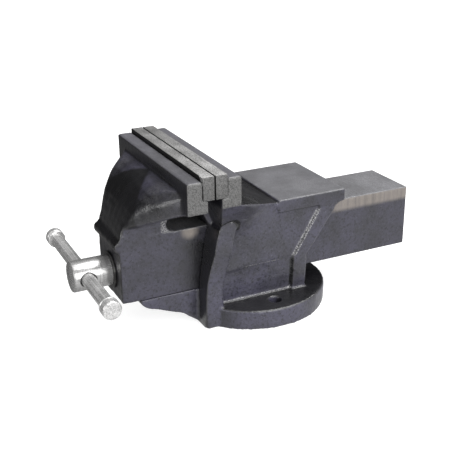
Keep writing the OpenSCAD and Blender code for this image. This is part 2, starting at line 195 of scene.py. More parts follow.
def mesh_arrays(mesh):
    """Vertex positions as an N by 3 array, and the edges as an E by 2 array."""
    spots = np.empty(len(mesh.vertices) * 3, dtype=np.float64)
    mesh.vertices.foreach_get("co", spots)
    pairs = np.empty(len(mesh.edges) * 2, dtype=np.int64)
    mesh.edges.foreach_get("vertices", pairs)
    return spots.reshape(-1, 3), pairs.reshape(-1, 2)


def relax(spots, pairs, rounds, amount):
    """Moves each point towards the mean of its neighbours, by amount (0 to 1 per point), rounds times."""
    count = np.bincount(pairs.ravel(), minlength=len(spots))[:, None]
    for _ in range(rounds):
        total = np.zeros_like(spots)
        np.add.at(total, pairs[:, 0], spots[pairs[:, 1]])
        np.add.at(total, pairs[:, 1], spots[pairs[:, 0]])
        spots = spots + amount * (total / count - spots)
    return spots


def smooth_step(low, high, value):
    """0 below low, 1 above high, and an even S between them."""
    t = np.clip((value - low) / (high - low), 0.0, 1.0)
    return t * t * (3.0 - 2.0 * t)


def waves(spots, size, seed):
    """A lumpy value of about -1 to 1 at each point: the sum of twelve plane waves of about that size."""
    rng = np.random.default_rng(seed)
    total = np.zeros(len(spots))
    for _ in range(12):
        heading = rng.normal(size=3)
        heading /= np.linalg.norm(heading)
        length = size * rng.uniform(0.7, 1.6)
        total += np.sin(spots @ heading * (2.0 * np.pi / length) + rng.uniform(0, 2.0 * np.pi))
    return total / 4.0


def cast_piece(node, piece_name, crisp, soft):
    """The CAD node as a casting: an even skin of small cells, its edges rounded by relaxing, with slow lumps.

    crisp(spots) is 1 where the surface is machined and keeps its edges and 0 where it is as cast, and
    soft(spots) is 1 where the mould was filleted wide. The attribute edge says by how many tenths of a
    millimetre relaxing pulls the skin in, above 0 on outward edges and below 0 in corners. The attributes
    front and top are 1 where the skin faces -Y and up."""
    cell = 0.00115
    piece = merged_copy(node, piece_name)
    skin = piece.modifiers.new("even_skin", "REMESH")
    skin.mode = "VOXEL"
    skin.voxel_size = cell
    apply_modifiers(piece)
    mesh = piece.data
    spots, pairs = mesh_arrays(mesh)
    as_cast = 1.0 - crisp(spots)[:, None]
    wide = soft(spots)[:, None]
    normals = np.empty(len(spots) * 3)
    mesh.vertices.foreach_get("normal", normals)
    normals = normals.reshape(-1, 3)
    near = relax(spots, pairs, 4, 0.5)
    edge = np.einsum("ij,ij->i", spots - near, normals) / 0.0001
    spots = relax(spots, pairs, 2, 0.5 * as_cast + 0.05)
    spots = relax(spots, pairs, 24, 0.5 * wide)
    lumps = 0.00022 * waves(spots, 0.024, 3) + 0.00012 * waves(spots, 0.009, 5)
    spots = spots + normals * (lumps[:, None] * as_cast)
    low, high = (np.array(corner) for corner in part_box(node))
    spots = np.clip(spots, low, high)
    mesh.vertices.foreach_set("co", spots.ravel())
    light_marks = mesh.attributes.new("edge", "FLOAT", "POINT")
    light_marks.data.foreach_set("value", edge)
    for label, facing in (("front", -normals[:, 1]), ("top", normals[:, 2])):
        faced = mesh.attributes.new(label, "FLOAT", "POINT")
        faced.data.foreach_set("value", smooth_step(0.45, 0.80, facing))
    mesh.polygons.foreach_set("use_smooth", np.ones(len(mesh.polygons), dtype=bool))
    mesh.update()
    return piece


def new_group(name, inputs, outputs):
    """An empty shader node group with those named inputs (name, kind, value) and outputs (name, kind)."""
    group = bpy.data.node_groups.new(name, "ShaderNodeTree")
    for label, kind, value in inputs:
        made = group.interface.new_socket(label, in_out="INPUT", socket_type="NodeSocket" + kind)
        made.default_value = value
    for label, kind in outputs:
        group.interface.new_socket(label, in_out="OUTPUT", socket_type="NodeSocket" + kind)
    return group, group.nodes.new("NodeGroupInput"), group.nodes.new("NodeGroupOutput")


class Wiring:
    """Short ways to add nodes to one tree; each returns the output that is used."""

    def __init__(self, tree):
        self.tree = tree

    def set(self, socket, value):
        if isinstance(value, bpy.types.NodeSocket):
            self.tree.links.new(value, socket)
        else:
            socket.default_value = value

    def math(self, operation, a, b=0.0):
        node = self.tree.nodes.new("ShaderNodeMath")
        node.operation = operation
        self.set(node.inputs[0], a)
        self.set(node.inputs[1], b)
        return node.outputs[0]

    def all_of(self, first, *others):
        """The product of the shares, so 1 where each of them is 1."""
        for share in others:
            first = self.math("MULTIPLY", first, share)
        return first

    def any_of(self, first, *others):
        """The largest of the shares, so 1 where one of them is 1."""
        for share in others:
            first = self.math("MAXIMUM", first, share)
        return first

    def reach(self, a, b):
        """How far the point (a, b) lies from (0, 0)."""
        squares = self.math("ADD", self.math("MULTIPLY", a, a), self.math("MULTIPLY", b, b))
        return self.math("SQRT", squares)

    def ramp(self, value, low, high, start=0.0, end=1.0):
        node = self.tree.nodes.new("ShaderNodeMapRange")
        node.interpolation_type = "SMOOTHSTEP"
        for label, number in (("Value", value), ("From Min", low), ("From Max", high),
                              ("To Min", start), ("To Max", end)):
            self.set(node.inputs[label], number)
        return node.outputs["Result"]

    def noise(self, where, scale, detail=3.0, roughness=0.55):
        node = self.tree.nodes.new("ShaderNodeTexNoise")
        self.set(node.inputs["Vector"], where)
        self.set(node.inputs["Scale"], scale)
        self.set(node.inputs["Detail"], detail)
        self.set(node.inputs["Roughness"], roughness)
        return node.outputs["Fac"]

    def stretched(self, where, scale):
        node = self.tree.nodes.new("ShaderNodeMapping")
        self.set(node.inputs["Vector"], where)
        self.set(node.inputs["Scale"], scale)
        return node.outputs["Vector"]

    def mix(self, share, a, b):
        node = self.tree.nodes.new("ShaderNodeMix")
        node.data_type = "RGBA"
        self.set(node.inputs["Factor"], share)
        self.set(node.inputs["A"], a)
        self.set(node.inputs["B"], b)
        return node.outputs["Result"]

    def place(self):
        return self.tree.nodes.new("ShaderNodeTexCoord").outputs["Object"]

    def parts(self, where):
        node = self.tree.nodes.new("ShaderNodeSeparateXYZ")
        self.set(node.inputs["Vector"], where)
        return node.outputs["X"], node.outputs["Y"], node.outputs["Z"]

    def attribute(self, name):
        node = self.tree.nodes.new("ShaderNodeAttribute")
        node.attribute_name = name
        return node.outputs["Fac"]

    def bump(self, height, strength, depth, under=None):
        node = self.tree.nodes.new("ShaderNodeBump")
        self.set(node.inputs["Height"], height)
        self.set(node.inputs["Strength"], strength)
        self.set(node.inputs["Distance"], depth)
        if under is not None:
            self.set(node.inputs["Normal"], under)
        return node.outputs["Normal"]

    def group(self, group, values):
        node = self.tree.nodes.new("ShaderNodeGroup")
        node.node_tree = group
        for label, value in values.items():
            self.set(node.inputs[label], value)
        return node.outputs


def new_material(name):
    """A fresh material with its wiring and its Principled shader."""
    material = bpy.data.materials.new(name)
    material.use_nodes = True
    return material, Wiring(material.node_tree), material.node_tree.nodes["Principled BSDF"]


def grey(level, warmth=0.0):
    """A grey of that linear level, a little red and short of blue by warmth."""
    return (level * (1.0 + warmth), level, level * (1.0 - warmth), 1.0)


def sand_skin_group():
    """Sand-cast iron under paint: Height from three sizes of pebble, Specks where grains stand proud."""
    group, given, out = new_group(
        "sand_skin", [("Vector", "Vector", (0, 0, 0)), ("Grain", "Float", 700.0)],
        [("Height", "Float"), ("Specks", "Float")])
    w = Wiring(group)
    where, grain = given.outputs["Vector"], given.outputs["Grain"]
    fine = w.noise(where, grain, 2.0)
    broad = w.noise(where, w.math("MULTIPLY", grain, 0.28), 3.0)
    pits = group.nodes.new("ShaderNodeTexVoronoi")
    w.set(pits.inputs["Vector"], where)
    w.set(pits.inputs["Scale"], w.math("MULTIPLY", grain, 0.9))
    rim = w.ramp(pits.outputs["Distance"], 0.0, 0.6)
    height = w.math("ADD", w.math("MULTIPLY", fine, 0.35), w.math("MULTIPLY", broad, 0.8))
    w.set(out.inputs["Height"], w.math("ADD", height, w.math("MULTIPLY", rim, 0.18)))
    w.set(out.inputs["Specks"], w.ramp(fine, 0.58, 0.74))
    return group


def ground_iron_group():
    """Bare iron off the grinder: Height in fine lines along the axis of least scale, Tone in streaks and
    stains, Speckle in small dots."""
    group, given, out = new_group(
        "ground_iron", [("Vector", "Vector", (0, 0, 0)), ("Stretch", "Vector", (40, 1500, 1500)),
                        ("Stain", "Float", 45.0)],
        [("Height", "Float"), ("Tone", "Float"), ("Speckle", "Float")])
    w = Wiring(group)
    where = given.outputs["Vector"]
    lines = w.noise(w.stretched(where, given.outputs["Stretch"]), 1.0, 4.0, 0.7)
    stain = w.noise(where, given.outputs["Stain"], 4.0, 0.6)
    speck = w.noise(where, 1050.0, 2.0, 0.7)
    w.set(out.inputs["Height"], lines)
    tone = w.math("ADD", w.math("MULTIPLY", lines, 0.45), w.math("MULTIPLY", stain, 0.55))
    w.set(out.inputs["Tone"], w.ramp(tone, 0.32, 0.68))
    w.set(out.inputs["Speckle"], w.ramp(speck, 0.38, 0.66))
    return group


sand_skin = sand_skin_group()
ground_iron = ground_iron_group()
mounts = {mount["name"]: mount for mount in frame["record"]["mounts"]}

ENAMEL_TINT = (1.0, 0.955, 1.50)                  # the enamel's red, green and blue against a grey
JAW_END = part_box("fixed_jaw_plate")[1][0]
JAW_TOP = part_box("fixed_body")[1][2]
EAR_FOOT = 0.112                                  # height where the jaws' upright ends begin
SLIDE_HALF = 0.0269                               # from the middle to the slide's side
SLIDE_TOP = 0.0863
SLIDE_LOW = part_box("sliding_jaw")[0][2]
ANVIL_TOP = mounts["anvil_face"]["pos_m"][2]
ANVIL_FRONT = 0.0061
BOLT_X = mounts["base_bolts"]["dims"]["spacing_x_mm"] / 2000.0
BOLT_R = mounts["base_bolts"]["dims"]["hole_r_mm"] / 1000.0
JAW_BACK = -0.0444                                # Y where the fixed jaw meets the ramp behind it
CROWN = (-0.044, 0.0882)                          # Y and Z of the middle of the rib's round top
STRUT_FOOT = (0.0216, 0.0480)                     # Y and Z where the rear post starts to lean
STRUT_RUN, STRUT_RISE = 0.513, 0.858              # how it leans, as a unit direction in Y and Z
FOLD_Z = 0.0475                                   # height of the faint fold along the side panel


def tinted(level, share=1.0):
    """The enamel's cool black at that linear level, with share of its blue."""
    return tuple(level * (1.0 + share * (t - 1.0)) for t in ENAMEL_TINT) + (1.0,)


def on_jaw_end(w, x):
    """1 in the last 0.4 mm before the jaws' ends, 0 from 0.9 mm inwards."""
    return w.ramp(w.math("ABSOLUTE", x), JAW_END - 0.0009, JAW_END - 0.0004)


def speckled_end(w, speckle):
    """The dull end of a jaw or of its plate: mid grey with dark specks."""
    return w.mix(speckle, grey(0.110, 0.01), grey(0.036, 0.01))


def black_casting(name, bare_share, shade_share, light_dots_share, patina_share, level):
    """Satin black enamel over the sand skin, rubbed thin on edges, with ground iron where bare_share says.

    bare_share(wiring, place) gives the mask of the machined faces and the stretch of their grinding lines.
    shade_share(wiring, place) is 1 where shade is painted in near-black, as it is on faces turned to -Y,
    light_dots_share(wiring, place, edge) where light grey dots are painted, mostly painted highlights, and
    patina_share(wiring, place) where brown handling streaks show on it."""
    material, w, shader = new_material(name)
    place = w.place()
    x = w.parts(place)[0]
    skin = w.group(sand_skin, {"Vector": place, "Grain": 620.0})
    bare, stretch = bare_share(w, place)
    iron = w.group(ground_iron, {"Vector": place, "Stretch": stretch, "Stain": 38.0})
    edge = w.attribute("edge")
    broken = w.noise(place, 160.0, 4.0, 0.65)
    dots = w.ramp(w.noise(place, 900.0, 2.0, 0.6), 0.42, 0.58)
    # dark: painted shade in near-black, where the shade mask says and, at 0.85, on every face turned to -Y
    dark = w.any_of(shade_share(w, place), w.math("MULTIPLY", w.attribute("front"), 0.85))
    rubbed = w.ramp(w.math("ADD", edge, w.math("MULTIPLY", broken, 1.6)), 2.2, 3.8)
    # light grey dots, mostly painted highlights, kept off the painted shade
    light_marks = w.all_of(light_dots_share(w, place, edge), dots, w.math("SUBTRACT", 1.0, dark))
    cloudy = w.noise(place, 26.0, 5.0, 0.68)
    mottled = w.noise(place, 420.0, 5.0, 0.75)
    enamel = w.mix(w.ramp(cloudy, 0.3, 0.7), tinted(level * 0.75, 0.45), tinted(level * 1.3))
    enamel = w.mix(w.ramp(mottled, 0.50, 0.36), enamel, tinted(level * 0.35, 0.8))
    enamel = w.mix(w.math("MULTIPLY", skin["Specks"], 0.40), enamel, tinted(level * 2.6, 0.6))
    enamel = w.mix(w.math("MULTIPLY", dark, 0.93), enamel, grey(0.004))
    enamel = w.mix(w.math("MULTIPLY", rubbed, 0.12), enamel, grey(0.12, 0.02))
    enamel = w.mix(light_marks, enamel, grey(0.32, 0.01))
    streaks = w.noise(w.stretched(place, (260.0, 260.0, 22.0)), 1.0, 4.0, 0.65)
    stain = w.math("MULTIPLY", patina_share(w, place), w.ramp(streaks, 0.30, 0.62, 0.62, 1.0))
    brown = (0.195, 0.172, 0.152, 1.0)
    enamel = w.mix(stain, enamel, brown)
    metal = w.mix(iron["Tone"], tinted(0.085, 0.12), tinted(0.17, 0.12))
    metal = w.mix(w.math("MULTIPLY", iron["Speckle"], 0.6), metal, grey(0.04))
    metal = w.mix(on_jaw_end(w, x), metal, speckled_end(w, iron["Speckle"]))
    w.set(shader.inputs["Base Color"], w.mix(bare, enamel, metal))
    satin = w.math("SUBTRACT", w.ramp(cloudy, 0.25, 0.75, 0.30, 0.44), w.math("MULTIPLY", dark, 0.08))
    rough = w.math("ADD", w.math("MULTIPLY", bare, w.math("SUBTRACT", 0.52, satin)), satin)
    w.set(shader.inputs["Roughness"], rough)
    w.set(shader.inputs["Metallic"], w.math("MULTIPLY", bare, 0.2))
    shader.inputs["Specular IOR Level"].default_value = 0.62
    painted = w.math("SUBTRACT", 1.0, bare)
    cast_bump = w.bump(skin["Height"], w.math("MULTIPLY", painted, 0.45), 0.0008)
    ground_bump = w.bump(iron["Height"], w.math("MULTIPLY", bare, 0.2), 0.0002, cast_bump)
    w.set(shader.inputs["Normal"], ground_bump)
    return material


def body_crisp(spots):
    """1 on the anvil plate, the jaw, the guide way and the bolt holes, 0 on the rest."""
    x, y, z = np.abs(spots[:, 0]), spots[:, 1], spots[:, 2]
    anvil = smooth_step(ANVIL_FRONT - 0.0006, ANVIL_FRONT + 0.0014, y) * smooth_step(0.0900, 0.0920, z)
    jaw = smooth_step(0.1195, 0.1215, z)
    way = smooth_step(SLIDE_HALF + 0.0031, SLIDE_HALF + 0.0021, x)
    way = way * smooth_step(SLIDE_LOW - 0.0015, SLIDE_LOW + 0.0005, z)
    way = way * smooth_step(SLIDE_TOP + 0.0017, SLIDE_TOP - 0.0003, z)
    hole = smooth_step(BOLT_R + 0.0007, BOLT_R - 0.0003, np.hypot(x - BOLT_X, y))
    return np.clip(anvil + jaw + way + hole, 0.0, 1.0)


def body_soft(spots):
    """Above 0 on the swept flank and along the faint fold in the side panel, 0 on the rest."""
    x, y, z = np.abs(spots[:, 0]), spots[:, 1], spots[:, 2]
    panel = smooth_step(0.036, 0.038, x) * smooth_step(-0.034, -0.028, y) * smooth_step(0.020, 0.016, y)
    flank = 0.5 * smooth_step(0.056, 0.064, z) * smooth_step(0.086, 0.080, z)
    fold = smooth_step(FOLD_Z - 0.0055, FOLD_Z - 0.0025, z) * smooth_step(FOLD_Z + 0.0065, FOLD_Z + 0.0035, z)
    return panel * np.clip(flank + fold, 0.0, 1.0)


def body_bare(w, place):
    """The anvil's face and the ends and top of the fixed jaw, ground in lines along Y."""
    x, y, z = w.parts(place)
    anvil = w.all_of(w.ramp(z, ANVIL_TOP - 0.0008, ANVIL_TOP - 0.0003),
                     w.ramp(y, ANVIL_FRONT + 0.0001, ANVIL_FRONT + 0.0009), 0.86)
    end = w.all_of(on_jaw_end(w, x), w.ramp(z, EAR_FOOT, EAR_FOOT + 0.0015))
    top = w.all_of(w.ramp(z, JAW_TOP - 0.0011, JAW_TOP - 0.0004), 0.6)
    return w.any_of(anvil, end, top), (900.0, 60.0, 900.0)


def body_painted_shade(w, place):
    """Painted shade in near-black: on the upward faces of the disc's top and of the ramp behind the jaw, in
    an arc round the rib's crown where the flank overhangs it, in the post's corner, and a little of it on the
    anvil plate."""
    x, y, z = w.parts(place)
    ramp = w.all_of(w.ramp(y, ANVIL_FRONT + 0.0003, ANVIL_FRONT - 0.0005),
                    w.ramp(y, JAW_BACK - 0.0002, JAW_BACK + 0.0002), w.ramp(z, 0.0885, 0.0905))
    disc = w.ramp(z, 0.0190, 0.0180)
    upward = w.all_of(w.attribute("top"), w.any_of(ramp, disc))
    above = w.math("SUBTRACT", z, CROWN[1])
    reach = w.reach(w.math("SUBTRACT", y, CROWN[0]), above)
    crown = w.all_of(w.ramp(reach, 0.0070, 0.0076), w.ramp(reach, 0.0116, 0.0108),
                     w.ramp(above, -0.004, -0.001), w.ramp(w.math("ABSOLUTE", x), 0.037, 0.039))
    post = w.all_of(w.ramp(y, 0.0190, 0.0200), w.ramp(y, 0.0226, 0.0220),
                    w.ramp(z, 0.0475, 0.0465), w.ramp(z, 0.0205, 0.0215))
    anvil = w.all_of(w.ramp(z, 0.0880, 0.0905), w.ramp(y, ANVIL_FRONT - 0.0011, ANVIL_FRONT + 0.0009), 0.22)
    return w.any_of(upward, anvil, crown, post)


def body_painted_highlights(w, place, edge):
    """Painted highlights: in broken dots down the front of the leaning strut, along the crease where the
    panel meets the disc, and along the faint fold in the side panel."""
    x, y, z = w.parts(place)
    side = w.math("ABSOLUTE", x)
    foot_y, foot_z = STRUT_FOOT
    behind = w.math("SUBTRACT", w.math("MULTIPLY", w.math("SUBTRACT", y, foot_y), STRUT_RISE),
                    w.math("MULTIPLY", w.math("SUBTRACT", z, foot_z), STRUT_RUN))
    strut = w.all_of(w.ramp(behind, -0.0020, -0.0010), w.ramp(behind, 0.0014, 0.0006),
                     w.ramp(z, foot_z, foot_z + 0.0020), w.ramp(z, 0.0885, 0.0865), 0.85)
    crease = w.all_of(w.ramp(edge, -1.2, -2.2), w.ramp(z, 0.0220, 0.0205), w.ramp(z, 0.0155, 0.0168),
                      w.ramp(side, 0.033, 0.034), 0.8)
    from_fold = w.math("ABSOLUTE", w.math("SUBTRACT", z, FOLD_Z))
    fold = w.all_of(w.ramp(from_fold, 0.0006, 0.0002), w.ramp(y, -0.028, -0.020), w.ramp(y, 0.012, 0.008),
                    w.ramp(side, 0.036, 0.037), 0.35)
    return w.any_of(strut, crease, fold)


def no_patina(w, place):
    """None anywhere: the fixed body has no handling streaks."""
    return 0.0


body_casting = cast_piece("fixed_body", "fixed_body_casting", body_crisp, body_soft)
body_casting.data.materials.append(
    black_casting("black_body_iron", body_bare, body_painted_shade, body_painted_highlights, no_patina, 0.034))
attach(body_casting, "base")
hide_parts("fixed_body")

# ---- sliding jaw: the second casting, a square hollow slide with a bulging apron
# and the jaw bar at its front. It is sprayed black like the body, and the slide's
# top and the bar's ends and top are milled bare.

SLOT_FRONT = -0.087                               # Y of the front of the slot under the jaw bar
SLOT_TOP = 0.0988
HAND_SPOT = (-0.0672, 0.0835)                     # Y and Z of the brown spot on the slide's side
HAND_HALF = (0.0100, 0.0085)                      # how far the spot reaches along Y and Z


def slide_crisp(spots):
    """1 on the slide and on the ends and top of the jaw bar, 0 on the apron."""
    x, y, z = np.abs(spots[:, 0]), spots[:, 1], spots[:, 2]
    slide = smooth_step(SLIDE_TOP + 0.0009, SLIDE_TOP - 0.0001, z) * smooth_step(-0.1225, -0.1205, y)
    bar = smooth_step(0.1290, 0.1310, z)
    end = smooth_step(JAW_END - 0.0025, JAW_END - 0.0005, x)
    return np.clip(slide + bar + end, 0.0, 1.0)


def slide_soft(spots):
    """1 where the apron's sides run out of its foot, below the jaw bar."""
    x, y, z = np.abs(spots[:, 0]), spots[:, 1], spots[:, 2]
    side = smooth_step(-0.0870, -0.0890, y) * smooth_step(0.0255, 0.0270, x) * smooth_step(0.072, 0.066, x)
    return side * smooth_step(0.0885, 0.0930, z) * smooth_step(0.1270, 0.1230, z)


def slide_bare(w, place):
    """The slide's top and the ends and top of the jaw bar, milled in lines along X."""
    x, y, z = w.parts(place)
    top = w.all_of(w.ramp(z, SLIDE_TOP - 0.0008, SLIDE_TOP - 0.0003),
                   w.ramp(z, SLIDE_TOP + 0.0010, SLIDE_TOP + 0.0006), w.ramp(y, -0.0920, -0.0880))
    end = w.all_of(on_jaw_end(w, x), w.ramp(z, EAR_FOOT, EAR_FOOT + 0.0015))
    bar = w.all_of(w.ramp(z, JAW_TOP - 0.0010, JAW_TOP - 0.0003), 0.6)
    return w.any_of(top, end, bar), (60.0, 900.0, 900.0)


def slide_painted_shade(w, place):
    """Painted shade on the fronts of the apron and of the jaw bar, and a painted shadow of the body's rib on
    the slide's side.
    """
    x, y, z = w.parts(place)
    side = w.math("ABSOLUTE", x)
    # painted shadow of the body's rib on the slide's side, placed for the jaws at rest and carried with the
    # slide
    rib_shadow = w.all_of(w.ramp(y, -0.0840, -0.0590), w.ramp(y, -0.0440, -0.0520),
                      w.ramp(z, 0.0780, 0.0700, 0.0, 0.85))
    swept = w.ramp(w.math("ADD", y, w.math("MULTIPLY", side, 0.75)), -0.0850, -0.0900)
    inside = w.any_of(w.ramp(side, SLIDE_HALF, SLIDE_HALF - 0.0008), w.ramp(z, 0.094, 0.097))
    front = w.all_of(swept, inside, w.ramp(z, 0.0755, 0.0765))
    return w.any_of(front, rib_shadow)


def slide_dots_and_highlight(w, place, edge):
    """Rough light dots on the apron's sides behind its swept front, and a painted highlight in dots at the
    front end of the slot.
    """
    x, y, z = w.parts(place)
    side = w.math("ABSOLUTE", x)
    apron = w.all_of(w.ramp(side, SLIDE_HALF, SLIDE_HALF + 0.0080), w.ramp(z, 0.0890, 0.0960),
                     w.ramp(z, 0.1330, 0.1290), w.ramp(side, JAW_END - 0.0005, JAW_END - 0.0015), 0.10)
    # painted highlight inside the front end of the slot
    slot = w.all_of(w.ramp(y, SLOT_FRONT - 0.0055, SLOT_FRONT - 0.0042),
                    w.ramp(y, SLOT_FRONT + 0.0035, SLOT_FRONT + 0.0020),
                    w.ramp(z, SLIDE_TOP + 0.0005, SLIDE_TOP + 0.0012),
                    w.ramp(z, SLOT_TOP + 0.0012, SLOT_TOP + 0.0002), w.ramp(side, 0.0200, 0.0230), 0.6)
    return w.any_of(apron, slot)


def slide_patina(w, place):
    """Brown along the upper edge of the slide's sides: behind the anvil, and in one spot behind the slot."""
    x, y, z = w.parts(place)
    side = w.ramp(w.math("ABSOLUTE", x), SLIDE_HALF - 0.0006, SLIDE_HALF - 0.0002)
    rear = w.all_of(w.ramp(y, 0.050, 0.058), w.ramp(z, 0.0735, 0.0785), 0.80)
    along = w.math("DIVIDE", w.math("SUBTRACT", y, HAND_SPOT[0]), HAND_HALF[0])
    height = w.math("DIVIDE", w.math("SUBTRACT", z, HAND_SPOT[1]), HAND_HALF[1])
    spot = w.ramp(w.reach(along, height), 1.0, 0.25)
    return w.all_of(side, w.any_of(rear, spot))


slide_casting = cast_piece("sliding_jaw", "sliding_jaw_casting", slide_crisp, slide_soft)
slide_casting.data.materials.append(
    black_casting("black_slide_iron", slide_bare, slide_painted_shade, slide_dots_and_highlight, slide_patina, 0.027))
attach(slide_casting, "slide")
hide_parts("sliding_jaw")

# ---- jaw plates: hardened steel bars, surface ground all over, with a cross-cut
# grip on the working face and two sunk socket screws each.

back_low, back_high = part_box("sliding_jaw_plate")
fixed_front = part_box("fixed_jaw_plate")[0][1]
HALF_GAP = (fixed_front - back_high[1]) / 2.0
GAP_MIDDLE = (fixed_front + back_high[1]) / 2.0


def ground_plate(name):
    """Ground steel: fine lines along X, a crossed grip cut in the working faces, and dull speckled ends.

    The working faces are painted near-black as painted shade in the gap between the jaws, and so is the
    sliding plate's back edge, all but its upper right corner, as painted shade on the step where it stands
    proud of the jaw bar."""
    material, w, shader = new_material(name)
    place = w.place()
    x, y, z = w.parts(place)
    iron = w.group(ground_iron, {"Vector": place, "Stretch": (50.0, 1400.0, 1400.0), "Stain": 60.0})
    end = w.ramp(w.math("ABSOLUTE", x), JAW_END - 0.0006, JAW_END - 0.0003)
    from_middle = w.math("ABSOLUTE", w.math("SUBTRACT", y, GAP_MIDDLE))
    face = w.ramp(from_middle, HALF_GAP + 0.0003, HALF_GAP + 0.0002)
    corner = back_high[0] + back_high[2]
    # scale: the sliding plate's back edge, which gets painted shade below
    scale = w.all_of(w.ramp(y, back_low[1] + 0.0007, back_low[1] + 0.0004),
                     w.ramp(w.math("ADD", x, z), corner - 0.0060, corner - 0.0067))
    tone = w.mix(iron["Tone"], grey(0.21, 0.01), grey(0.40, 0.01))
    tone = w.mix(w.math("MULTIPLY", iron["Speckle"], 0.8), tone, grey(0.08, 0.01))
    colour = w.mix(end, tone, speckled_end(w, iron["Speckle"]))
    # painted shade: the working faces and the sliding plate's back edge made near-black
    colour = w.mix(w.any_of(face, scale), colour, grey(0.012))
    w.set(shader.inputs["Base Color"], colour)
    w.set(shader.inputs["Metallic"], w.math("SUBTRACT", 0.6, w.math("MULTIPLY", end, 0.4)))
    w.set(shader.inputs["Roughness"], w.math("ADD", 0.44, w.math("MULTIPLY", iron["Tone"], 0.12)))
    grip_step = 0.0016
    turns = 2.0 * math.pi / grip_step
    one = w.math("SINE", w.math("MULTIPLY", w.math("ADD", x, z), turns))
    two = w.math("SINE", w.math("MULTIPLY", w.math("SUBTRACT", x, z), turns))
    grip = w.math("MULTIPLY", w.math("MINIMUM", one, two), face)
    lines = w.bump(iron["Height"], 0.16, 0.0002)
    w.set(shader.inputs["Normal"], w.bump(grip, 0.8, 0.0004, lines))
    return material


def trimmed_copy(node, piece_name, body, material, edge=0.0004):
    """The CAD node's own shape with small bevelled edges, as a finished piece in its place."""
    piece = merged_copy(node, piece_name)
    bevel = piece.modifiers.new("broken_edges", "BEVEL")
    bevel.width = edge
    bevel.segments = 2
    bevel.limit_method = "ANGLE"
    bevel.angle_limit = math.radians(35.0)
    apply_modifiers(piece)
    piece.data.polygons.foreach_set("use_smooth", np.ones(len(piece.data.polygons), dtype=bool))
    piece.data.set_sharp_from_angle(angle=math.radians(30.0))
    piece.data.materials.append(material)
    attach(piece, body)
    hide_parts(node)
    return piece


plate_steel = ground_plate("ground_plate_steel")
trimmed_copy("fixed_jaw_plate", "fixed_plate", "base", plate_steel)
trimmed_copy("sliding_jaw_plate", "sliding_plate", "slide", plate_steel)

# ---- plate screws and the nut's bolt: black oxide steel, socket heads in the
# plates and a hexagon head under the base.


def oxide_steel(name):
    """Black oxide: near-black with a faint sheen, clouded with a lighter grey."""
    material, w, shader = new_material(name)
    place = w.place()
    cloudy = w.noise(place, 220.0, 4.0, 0.6)
    w.set(shader.inputs["Base Color"], w.mix(w.ramp(cloudy, 0.35, 0.75), grey(0.030), grey(0.096, 0.03)))
    w.set(shader.inputs["Roughness"], w.ramp(cloudy, 0.3, 0.7, 0.32, 0.48))
    shader.inputs["Metallic"].default_value = 0.8
    w.set(shader.inputs["Normal"], w.bump(w.noise(place, 1800.0, 2.0), 0.12, 0.0002))
    return material


oxide = oxide_steel("black_oxide_steel")
trimmed_copy("fixed_jaw_screws", "fixed_plate_screws", "base", oxide, 0.0003)
trimmed_copy("sliding_jaw_screws", "sliding_plate_screws", "slide", oxide, 0.0003)
trimmed_copy("nut_bolt", "nut_fixing_bolt", "base", oxide)

# ---- nut: a bronze block on the channel floor inside the slide, held by the bolt,
# two washers and two dowels. Its bore is plain: the inner thread is left out.


def cast_bronze(name):
    """Cast bronze: warm metal in brown and gold clouds, with a sand skin."""
    material, w, shader = new_material(name)
    place = w.place()
    skin = w.group(sand_skin, {"Vector": place, "Grain": 900.0})
    brown, gold = (0.30, 0.17, 0.07, 1.0), (0.62, 0.42, 0.18, 1.0)
    w.set(shader.inputs["Base Color"], w.mix(w.noise(place, 90.0, 4.0), brown, gold))
    w.set(shader.inputs["Roughness"], w.ramp(skin["Height"], 0.4, 0.9, 0.32, 0.5))
    shader.inputs["Metallic"].default_value = 0.9
    w.set(shader.inputs["Normal"], w.bump(skin["Height"], 0.3, 0.0004))
    return material


trimmed_copy("spindle_nut", "bronze_nut", "base", cast_bronze("nut_cast_bronze"), 0.0006)

# ---- spindle: turned from one steel bar. The head has a rounded nose and the cross
# hole for the handle; behind the collar the shank carries a right-hand trapezoidal
# screw of 4 mm pitch.


def turned_steel(name, lines, bright, shine):
    """Bright steel with fine marks drawn out by the scales in lines, mottled and lightly scratched.

    bright is its middle level of grey, and shine is how metallic it is."""
    material, w, shader = new_material(name)
    place = w.place()
    marks = w.noise(w.stretched(place, lines), 1.0, 3.0, 0.7)
    mottle = w.noise(place, 90.0, 3.0, 0.5)
    rub = w.noise(w.stretched(place, (300.0, 90.0, 900.0)), 1.0, 5.0, 0.7)
    tone = w.math("ADD", w.math("MULTIPLY", marks, 0.7), w.math("MULTIPLY", mottle, 0.3))
    w.set(shader.inputs["Base Color"],
          w.mix(w.ramp(tone, 0.38, 0.62), grey(bright * 0.58, 0.005), grey(bright * 1.22, 0.005)))
    w.set(shader.inputs["Roughness"], w.ramp(rub, 0.35, 0.7, 0.20, 0.30))
    shader.inputs["Metallic"].default_value = shine
    w.set(shader.inputs["Normal"], w.bump(marks, 0.10, 0.0002))
    return material


